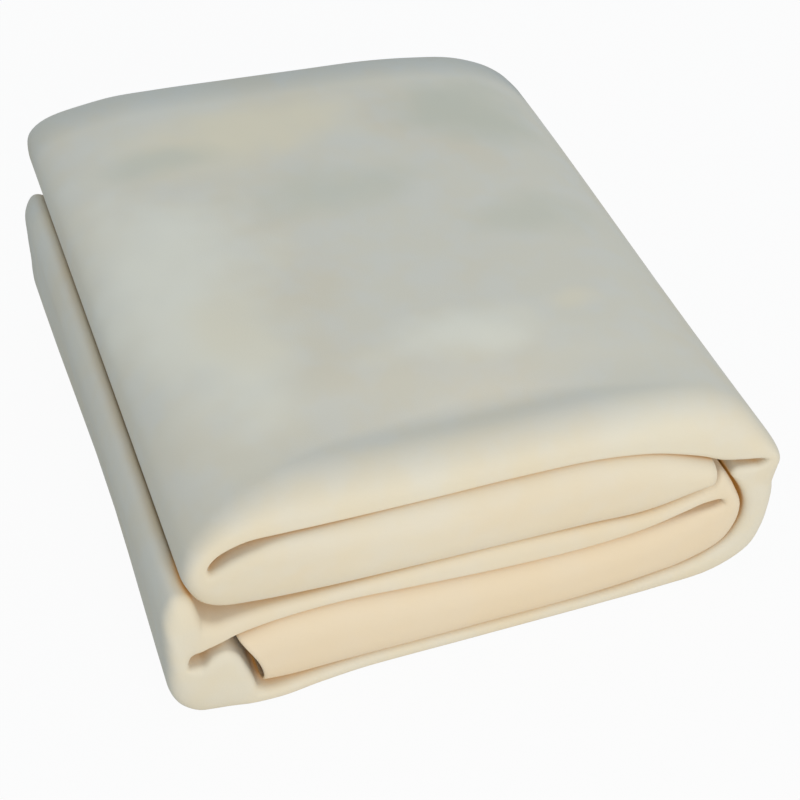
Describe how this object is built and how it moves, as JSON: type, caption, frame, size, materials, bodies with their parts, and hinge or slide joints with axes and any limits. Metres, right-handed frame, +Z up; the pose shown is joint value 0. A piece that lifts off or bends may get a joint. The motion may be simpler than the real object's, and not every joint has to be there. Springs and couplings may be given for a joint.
{
  "type": "folded chamois leather",
  "caption": "Natural chamois drying leather folded into a soft square pile, with long round folds at the front and its layers showing at the back.",
  "frame": {"origin": "middle of the underside's bounding box, on the surface that the leather rests on", "axes": "+Z up, +Y from the long round folds at the front to the cut and folded edges at the back, +X to the right seen from the front"},
  "size_m": [0.152, 0.157, 0.0609],
  "materials": {
    "suede": "matt pale cream suede, napped on both sides"
  },
  "bodies": {
    "root": {"chamois_leather": "suede"}
  },
  "joints": []
}
